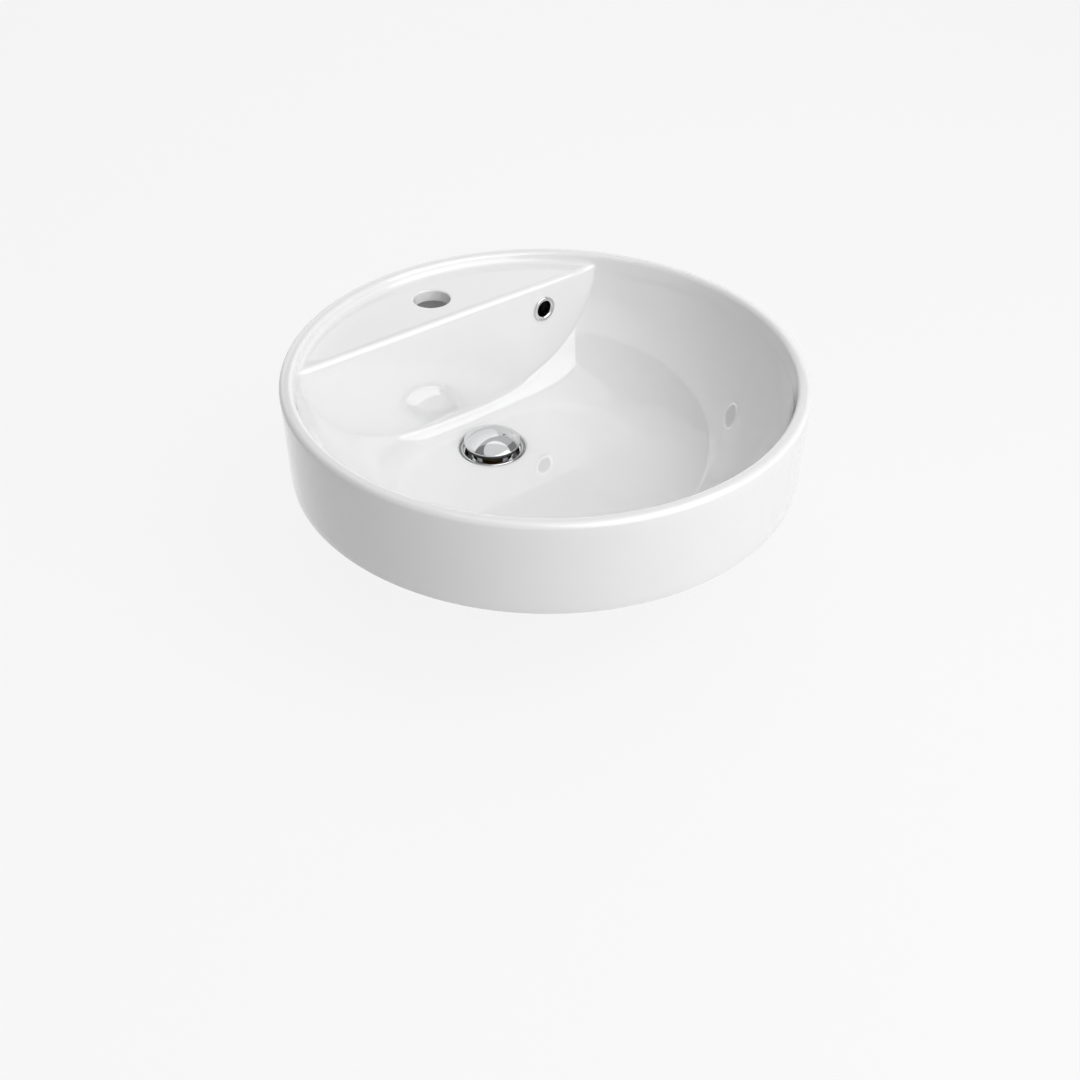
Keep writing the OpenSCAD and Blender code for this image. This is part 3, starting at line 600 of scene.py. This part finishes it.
# Overflow trim. A thin chromed brass ring with a round lip. Its sleeve pushes into the hole, where a rubber
# grip holds it.
chrome, shader = finish("polished_chrome", (0.72, 0.725, 0.735), 0.06, 1.0)
vary(chrome, shader, 60.0, (0.69, 0.695, 0.705), (0.74, 0.745, 0.75), 0.04, 0.09, 0.003)
rubber, shader = finish("black_rubber", (0.03, 0.03, 0.03), 0.6)
vary(rubber, shader, 160.0, (0.02, 0.02, 0.02), (0.045, 0.045, 0.045), 0.5, 0.7, 0.04)
SLEEVE_IN = 8.0
SLEEVE_OUT = 9.0
SLEEVE_L = 10.99
TRIM_R = 12.5
LIP_H = 2.0
section = [(SLEEVE_IN, -SLEEVE_L), (SLEEVE_OUT, -SLEEVE_L), (SLEEVE_OUT, 0), (TRIM_R, 0)]
section += arc(TRIM_R - 1, LIP_H - 1, 1, 0, 90, 6) + arc(SLEEVE_IN + LIP_H, 0, LIP_H, 90, 180, 10)
ring = turned("overflow_trim", section, 96, (0, 0))
to_face = Matrix.Translation((OVERFLOW_X * MM, FACE_Y * MM, OVERFLOW_Z * MM))
ring.data.transform(to_face @ Matrix.Rotation(math.pi / 2, 4, "X"))
ring.data.materials.append(chrome)
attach(ring, "basin")
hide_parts("overflow_ring")
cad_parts["overflow_grip"].material_slots[0].material = rubber

# Waste. A chromed brass flange in the outlet's recess, in one piece with its slotted and threaded tail.
# Four arms inside the tail hold the hub that the push-button cartridge screws into.
TAIL_Z = -136.83
THREAD_R = 20.95
ROOT_R = 19.47
PITCH = 2.309
THREAD_END = -56.5
GROOVE_Z = -117.83
GROOVE_W = 2.5
TAIL_BORE = 18.0
EDGE_R = 1.15
DISH_R = 27.7
DISH_Z = -48.03
DISH_SLOPE = 0.34
around = np.linspace(0, 2 * math.pi, 96, endpoint=False)
plain = np.column_stack([np.cos(around), np.sin(around)])


def tail_loop(r, z):
    """A loop round the axis of the outlet, of one radius or of one for each point."""
    return level(plain * np.reshape(r, (-1, 1)) + [0, DRAIN_Y], z)


# From the tail's end up the thread, which stops at a groove, then round the flange's edge and down the bore.
thread_top = seat_at(THREAD_R) + 1.5
waste_loops = [tail_loop(TAIL_BORE, TAIL_Z), tail_loop(ROOT_R + 0.3, TAIL_Z)]
for z in np.arange(TAIL_Z + 0.4, thread_top - 1, PITCH / 6):
    crest = 0.5 + 0.5 * np.sin(2 * math.pi * z / PITCH - around)
    crest = np.clip(1.25 * crest - 0.1, 0, 1)
    from_groove = abs(z - GROOVE_Z - GROOVE_W / 2) - GROOVE_W / 2
    fade = min(1, (z - TAIL_Z) / 1.6, max(0, from_groove / 0.8), max(0, (THREAD_END - z) / 1.5))
    waste_loops.append(tail_loop(ROOT_R + (THREAD_R - ROOT_R) * crest * fade, z))
rest = [(THREAD_R, thread_top - 0.6), (THREAD_R, thread_top), (FLANGE_R, flange_z - 3.4)]
rest += arc(FLANGE_R - EDGE_R, flange_z - EDGE_R, EDGE_R, 0, 180, 16)
rest += [(DISH_R, flange_z - 2.6)] + arc(26.9, -47.5, 0.9, -10, -70, 4)
rest += [(r, DISH_Z - (DISH_R - r) * DISH_SLOPE) for r in np.linspace(26.9, 19.9, 8)]
rest += [(19.4, -51.0), (18.4, -51.8), (TAIL_BORE, -52.6)]
rest += [(TAIL_BORE, z) for z in np.linspace(-56, TAIL_Z, 10)[:-1]]
waste = skin("waste", waste_loops + [tail_loop(r, z) for r, z in rest])
HUB_Z = -99.93
HUB_TOP = -91.93
HUB_R = 9.0
HUB_BORE = 5.08
hub = turned("hub", [(HUB_BORE, HUB_Z), (8.4, HUB_Z), (HUB_R, -99.3), (HUB_R, -92.5), (8.4, HUB_TOP),
                     (HUB_BORE, HUB_TOP)], 64)
combine(waste, hub, "UNION")
ARM_Z = HUB_Z + 3
ARM_W = 4.0
ARM_H = 6.0
ARM_START = 7.5
ARM_END = 19.0
for turns in np.radians([0, 90, 180, 270]):
    side = np.array([math.cos(turns), math.sin(turns), 0])
    middle = np.array([0, DRAIN_Y, ARM_Z])
    start, end = middle + side * ARM_START, middle + side * ARM_END
    arm = bar("arm", start, end, np.cross(side, (0, 0, 1)), ARM_W, ARM_H, 1)
    combine(waste, arm, "UNION")
SLOT_Z = -71.0
SLOT_W = 16.0
SLOT_H = 14.0
SLOT_START = 10.0
SLOT_END = 26.0
for turns in np.radians([45, 135, 225, 315]):
    side = np.array([math.cos(turns), math.sin(turns), 0])
    middle = np.array([0, DRAIN_Y, SLOT_Z])
    start, end = middle + side * SLOT_START, middle + side * SLOT_END
    slot = bar("slot", start, end, np.cross(side, (0, 0, 1)), SLOT_W, SLOT_H, 3)
    combine(waste, slot, "DIFFERENCE")
waste.data.materials.clear()
waste.data.materials.append(chrome)
waste.data.shade_smooth()
waste.data.set_sharp_from_angle(angle=math.radians(40))
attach(waste, "basin")
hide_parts("waste_body")

# Seals, washer and nut of the waste. The brass nut pulls the tail down on the plastic washer, and the rubber
# cone closes the outlet from below.
milky, shader = finish("white_seal", (0.75, 0.75, 0.73), 0.5)
vary(milky, shader, 120.0, (0.7, 0.7, 0.68), (0.78, 0.78, 0.76), 0.42, 0.58, 0.03)
moulded, shader = finish("white_plastic", (0.8, 0.8, 0.78), 0.35)
vary(moulded, shader, 300.0, (0.77, 0.77, 0.75), (0.82, 0.82, 0.8), 0.3, 0.42, 0.02)
brass, shader = finish("brass", (0.7, 0.52, 0.26), 0.3, 1.0)
vary(brass, shader, 240.0, (0.62, 0.45, 0.2), (0.75, 0.57, 0.3), 0.22, 0.4, 0.02)
SEAL_BORE = 21.15
SEAL_R = 30.0
CONE_Z = -101.0
CONE_TOP = -95.0
cone = turned("cone_seal", [(SEAL_BORE, CONE_Z), (29.3, CONE_Z), (SEAL_R, -100.3), (SEAL_R, -98.6),
                            (29.4, -97.9), (26, -96.2), (22.8, -96.2), (22, CONE_TOP), (SEAL_BORE, CONE_TOP)])
cone.data.materials.append(rubber)
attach(cone, "basin")
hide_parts("cone_seal")
WASHER_Z = -103.0
washer = turned("slip_washer", [(SEAL_BORE, -102.8), (21.35, WASHER_Z), (29.7, WASHER_Z), (SEAL_R, -102.7),
                                (SEAL_R, -101.3), (29.7, CONE_Z), (21.35, CONE_Z), (SEAL_BORE, -101.2)])
washer.data.materials.append(moulded)
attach(washer, "basin")
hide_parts("slip_washer")
NUT_Z = -114.0
NUT_H = 11.0
NUT_FLAT = 27.0
NUT_BORE = 21.03
flat_turn = np.mod(np.degrees(around), 60) - 30
hexagon = NUT_FLAT / np.cos(np.radians(np.clip(flat_turn, -29, 29)))
nut_loops = [tail_loop(NUT_BORE, NUT_Z + NUT_H - 0.6), tail_loop(NUT_BORE, NUT_Z + 0.8)]
nut_loops += [tail_loop(21.8, NUT_Z), tail_loop(26.4, NUT_Z)]
nut_loops += [tail_loop(np.minimum(hexagon, 26.9 + 2.1 * h), NUT_Z + h) for h in np.linspace(0.1, 2.4, 8)]
nut_loops += [tail_loop(hexagon, NUT_Z + h) for h in (5, 8, NUT_H - 0.5)]
nut_loops += [tail_loop(hexagon - 0.5, NUT_Z + NUT_H), tail_loop(21.6, NUT_Z + NUT_H)]
nut = skin("back_nut", nut_loops)
nut.data.set_sharp_from_angle(angle=math.radians(35))
nut.data.materials.append(brass)
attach(nut, "basin")
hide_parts("back_nut")
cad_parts["flange_seal"].material_slots[0].material = milky

# Push-button cartridge. Turned brass barrel and plunger, moulded bush and rotor, steel washer, ring and
# spring. The spring is coiled from round wire and stands on the barrel's floor.
steel, shader = finish("spring_steel", (0.55, 0.56, 0.57), 0.3, 1.0)
vary(steel, shader, 500.0, (0.45, 0.46, 0.48), (0.6, 0.61, 0.62), 0.22, 0.38, 0.01)
for name, material in (("cartridge_barrel", brass), ("plunger", brass), ("cartridge_bush", moulded),
                       ("latch_rotor", moulded), ("bush_circlip", steel), ("spring_washer", steel)):
    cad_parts[name].material_slots[0].material = material
WIRE_R = 0.55
SPRING_TURNS = 5
low, high = (np.array(corner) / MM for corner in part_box("cartridge_spring"))
coil_r = (high[0] - low[0]) / 2 - WIRE_R
climb = high[2] - low[2] - 2 * WIRE_R
wire_turn = np.radians(np.arange(0, 360, 30))
wire = []
for s in np.linspace(0, 1, SPRING_TURNS * 48 + 1):
    a = 2 * math.pi * SPRING_TURNS * s
    rise = climb * (s - math.sin(4 * math.pi * s) / (4 * math.pi * SPRING_TURNS))
    r = coil_r + WIRE_R * np.cos(wire_turn)
    height = low[2] + WIRE_R + rise + WIRE_R * np.sin(wire_turn)
    wire.append(np.column_stack([r * math.cos(a), DRAIN_Y + r * math.sin(a), height]))
ends = [np.tile(np.mean(wire[i], axis=0), (len(wire_turn), 1)) for i in (0, -1)]
spring = skin("cartridge_spring_wire", [ends[0]] + wire + [ends[1]], closed=False)
spring.data.materials.append(steel)
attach(spring, "basin")
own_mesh(spring)
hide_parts("cartridge_spring")

# Plug. A domed cap pressed from brass and chromed, on a stud, with a rubber seal clamped under it. Its side
# draws in below the edge. There the chrome is rougher, and its colour is darkened as painted shade for the
# gap under the cap.
CAP_R = 27.0
CAP_HUB_R = 8.5
CAP_HUB_Z = -42.43
CAP_INNER_R = 24.8
CAP_UNDER_Z = -37.73
DOME_R = 45.0
DOME_TOP = -27.63
dome = [(x, DOME_TOP - DOME_R + math.sqrt(DOME_R**2 - x**2)) for x in np.linspace(26.88, 0, 60)]
section = [(0, CAP_HUB_Z), (CAP_HUB_R, CAP_HUB_Z), (CAP_HUB_R, CAP_UNDER_Z), (CAP_INNER_R, CAP_UNDER_Z)]
section += [(CAP_INNER_R, -41.5), (24.93, -41.63)] + arc(25.35, -41.38, 0.25, -90, -15, 4)
section += [(CAP_R - 0.02, -37.7), (CAP_R, -37.55)] + arc(CAP_R - 0.3, -36.78, 0.3, 0, 53, 4) + dome
cap = turned("plug_cap", section, 192)
cap.data.materials.append(chrome)
# Painted shade: the chrome below the cap's edge is coloured dark for the shade in the gap under the cap; its
# higher roughness is real.
dull_painted_shade, shader = finish("dull_chrome_painted_shade", (0.2, 0.2, 0.2), 0.35, 1.0)
vary(dull_painted_shade, shader, 150.0, (0.14, 0.14, 0.145), (0.24, 0.24, 0.24), 0.28, 0.45, 0.01)
cap.data.materials.append(dull_painted_shade)
# The faces below the cap's underside get the painted shade.
for face in cap.data.polygons:
    if face.center.z < (CAP_UNDER_Z - 0.02) * MM:
        face.material_index = 1
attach(cap, "plug")
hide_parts("plug_cap")
for name, material in (("cap_stud", brass), ("plug_seal", rubber), ("seal_retainer", moulded)):
    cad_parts[name].material_slots[0].material = material

# Floor. A plain pale paper sheet, on which the tail of the waste just stands, swept up all round into a
# backdrop. Seen directly or mirrored it is nearly white, and it still takes the basin's shadow.
WHITE_SHARE = 0.86
FLOOR_R = 5000.0
SWEEP_R = 1000.0
BACKDROP_Z = 3500.0
floor_z = TAIL_Z - 0.5
sweep = [(0, floor_z), (FLOOR_R, floor_z)] + arc(FLOOR_R, floor_z + SWEEP_R, SWEEP_R, -90, 0, 12)
sweep += [(FLOOR_R + SWEEP_R, BACKDROP_Z)]
floor = skin("floor", [level(plain * r, z) for r, z in sweep], closed=False)
paper, shader = finish("pale_floor", (0.62, 0.62, 0.62), 0.9)
nodes, links = paper.node_tree.nodes, paper.node_tree.links
rays = nodes.new("ShaderNodeLightPath")
white = nodes.new("ShaderNodeEmission")
part = nodes.new("ShaderNodeMath")
part.operation = "MULTIPLY"
part.inputs[1].default_value = WHITE_SHARE
seen = nodes.new("ShaderNodeMath")
seen.operation = "MAXIMUM"
blend = nodes.new("ShaderNodeMixShader")
links.new(rays.outputs["Is Camera Ray"], seen.inputs[0])
links.new(rays.outputs["Is Glossy Ray"], seen.inputs[1])
links.new(seen.outputs[0], part.inputs[0])
links.new(part.outputs[0], blend.inputs["Fac"])
links.new(shader.outputs["BSDF"], blend.inputs[1])
links.new(white.outputs["Emission"], blend.inputs[2])
links.new(blend.outputs["Shader"], nodes["Material Output"].inputs["Surface"])
floor.data.materials.append(paper)

# Light. Two large square lamps, one in front and a weak one behind, and an oval panel overhead, in a dim grey
# room. The places, sizes and powers of the lamps are in metres and watts.
LAMP_DISTANCE = 2.2
world = bpy.data.worlds.new("studio")
bpy.context.scene.world = world
world.use_nodes = True
world.node_tree.nodes["Background"].inputs["Color"].default_value = (1, 1, 1, 1)
world.node_tree.nodes["Background"].inputs["Strength"].default_value = 0.25


def lamp(name, place, target, width, height, power):
    """A flat soft lamp that faces its target."""
    light = bpy.data.lights.new(name, "AREA")
    light.shape = "RECTANGLE"
    light.size, light.size_y = width, height
    light.energy = power
    holder = bpy.data.objects.new(name, light)
    holder.location = place
    facing = Vector(target) - Vector(place)
    holder.rotation_euler = facing.to_track_quat("-Z", "Y").to_euler()
    bpy.context.scene.collection.objects.link(holder)
    return holder


for name, azimuth, elevation, size, power in (("front", 8, 37, 2.8, 47), ("behind", 145, 38, 3.2, 11)):
    a, e = math.radians(azimuth), math.radians(elevation)
    place = LAMP_DISTANCE * Vector((math.sin(a) * math.cos(e), -math.cos(a) * math.cos(e), math.sin(e)))
    lamp(name, place, (0, 0, 0.02), size, size, power)
panel = lamp("overhead", (0.2, -1.0, 2.0), (0.2, -1.0, 0), 2.66, 3.6, 14)
panel.data.shape = "ELLIPSE"

# Camera. It looks down on the basin from its front left, level but for a slight roll, with the whole rim and
# the outer wall in view.
AZIMUTH = math.radians(-39.04)
ELEVATION = math.radians(38.874)
ROLL = math.radians(0.53)
FOCAL_LENGTH = 40.44
DISTANCE = 1080.904
LOOK_AT = Vector((-39.913, -43.841, -61.459))
ahead = math.cos(ELEVATION)
back = Vector((math.sin(AZIMUTH) * ahead, -math.cos(AZIMUTH) * ahead, math.sin(ELEVATION)))
right = Vector((math.cos(AZIMUTH), math.sin(AZIMUTH), 0))
up = back.cross(right)
right, up = math.cos(ROLL) * right + math.sin(ROLL) * up, math.cos(ROLL) * up - math.sin(ROLL) * right
lens = bpy.data.cameras.new("camera")
lens.lens = FOCAL_LENGTH
lens.sensor_width = 36.0
lens.sensor_fit = "HORIZONTAL"
camera = bpy.data.objects.new("camera", lens)
aim = Matrix((right, up, back)).transposed().to_4x4()
camera.matrix_world = Matrix.Translation((LOOK_AT + back * DISTANCE) * MM) @ aim
bpy.context.scene.collection.objects.link(camera)
bpy.context.scene.camera = camera
bpy.context.scene.view_settings.view_transform = "Standard"
